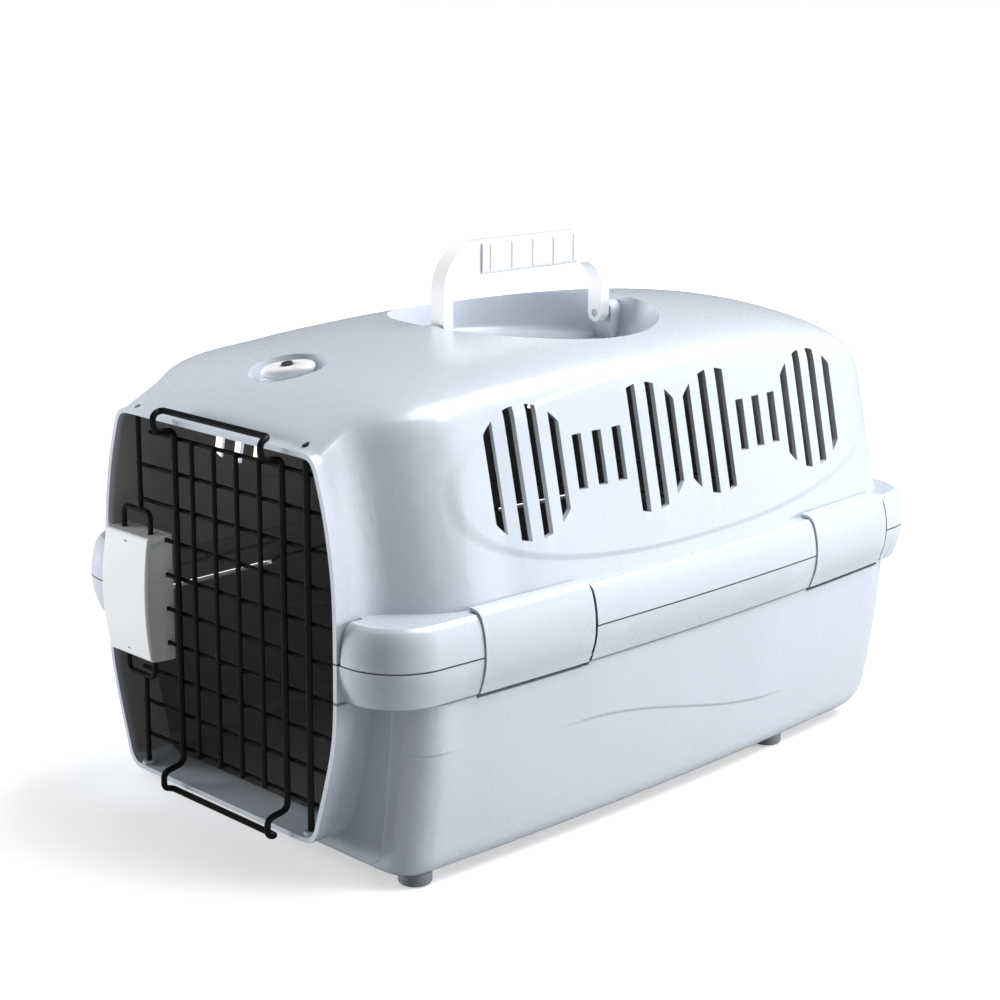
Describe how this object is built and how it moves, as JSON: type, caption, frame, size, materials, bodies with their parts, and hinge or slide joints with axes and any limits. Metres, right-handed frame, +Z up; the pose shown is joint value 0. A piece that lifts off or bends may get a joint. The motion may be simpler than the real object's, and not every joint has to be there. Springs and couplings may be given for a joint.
{
  "type": "pet transport carrier",
  "caption": "Two-shell plastic pet carrier with a hinged wire-grid front door, pinch-open spring bolts, clip-together side latches and a folding carrying handle in a roof dish.",
  "frame": {"origin": "on the floor plane under the middle of the cabin, midway between the left and right sides", "axes": "+X to the carrier's right, -Y to the front where the door is, +Y to the rear, +Z up"},
  "size_m": [0.3192, 0.5175, 0.3439],
  "materials": {
    "shell_plastic": "pale blue-grey moulded polypropylene, lightly glossy",
    "latch_plastic": "pale blue-grey moulded plastic",
    "white_plastic": "white moulded plastic",
    "black_plastic": "black moulded plastic",
    "wire_black": "black coated welded wire",
    "pin_steel": "plain steel",
    "spring_steel": "drawn spring wire",
    "foot_rubber": "dark soft rubber"
  },
  "bodies": {
    "carrier": {"upper_shell": "shell_plastic", "lower_shell": "shell_plastic", "feet": "foot_rubber", "side_latch_pins": "pin_steel", "handle_pin_front": "pin_steel", "handle_pin_rear": "pin_steel", "knob_pin": "black_plastic"},
    "door": {"door_mesh": "wire_black", "door_bail": "wire_black", "latch_cover": "latch_plastic", "latch_back_plate": "latch_plastic", "latch_screws": "pin_steel", "upper_latch_spring": "spring_steel", "lower_latch_spring": "spring_steel"},
    "upper_bolt": {"upper_latch_bolt": "wire_black"},
    "lower_bolt": {"lower_latch_bolt": "wire_black"},
    "handle": {"carry_handle": "white_plastic"},
    "knob": {"brow_knob": "white_plastic"},
    "side_latch_front_right_body": {"side_latch_front_right": "latch_plastic"},
    "side_latch_rear_right_body": {"side_latch_rear_right": "latch_plastic"},
    "side_latch_front_left_body": {"side_latch_front_left": "latch_plastic"},
    "side_latch_rear_left_body": {"side_latch_rear_left": "latch_plastic"}
  },
  "joints": [
    {"name": "side_latch_front_right_hinge", "type": "hinge", "parent": "carrier", "child": "side_latch_front_right_body", "pos_m": [0.15153, -0.11781, 0.1197], "axis": [0.0332, 0.9994, 0], "range_deg": [0, 90]},
    {"name": "side_latch_rear_right_hinge", "type": "hinge", "parent": "carrier", "child": "side_latch_rear_right_body", "pos_m": [0.14511, 0.18658, 0.1197], "axis": [-0.0751, 0.9972, 0], "range_deg": [0, 90]},
    {"name": "side_latch_front_left_hinge", "type": "hinge", "parent": "carrier", "child": "side_latch_front_left_body", "pos_m": [-0.15153, -0.11781, 0.1197], "axis": [0.0332, -0.9994, 0], "range_deg": [0, 90]},
    {"name": "side_latch_rear_left_hinge", "type": "hinge", "parent": "carrier", "child": "side_latch_rear_left_body", "pos_m": [-0.14511, 0.18658, 0.1197], "axis": [-0.0751, -0.9972, 0], "range_deg": [0, 90]},
    {"name": "handle_hinge", "type": "hinge", "parent": "carrier", "child": "handle", "pos_m": [0, 0.024, 0.286], "axis": [0, 1, 0], "range_deg": [-85, 85]},
    {"name": "door_hinge", "type": "hinge", "parent": "carrier", "child": "door", "pos_m": [0.077, -0.222, 0.14], "axis": [0, 0, 1], "range_deg": [0, 110]},
    {"name": "upper_bolt_slide", "type": "slide", "parent": "door", "child": "upper_bolt", "axis": [0, 0, 1], "range_m": [-0.008, 0.006], "stiffness_N_per_m": 60, "deforming": ["upper_latch_spring"]},
    {"name": "lower_bolt_slide", "type": "slide", "parent": "door", "child": "lower_bolt", "axis": [0, 0, -1], "range_m": [-0.008, 0.006], "stiffness_N_per_m": 60, "deforming": ["lower_latch_spring"]},
    {"name": "knob_turn", "type": "hinge", "parent": "carrier", "child": "knob", "pos_m": [0, -0.16992, 0.27282], "axis": [0, -0.2079, 0.9781], "range_deg": [0, 90]}
  ]
}
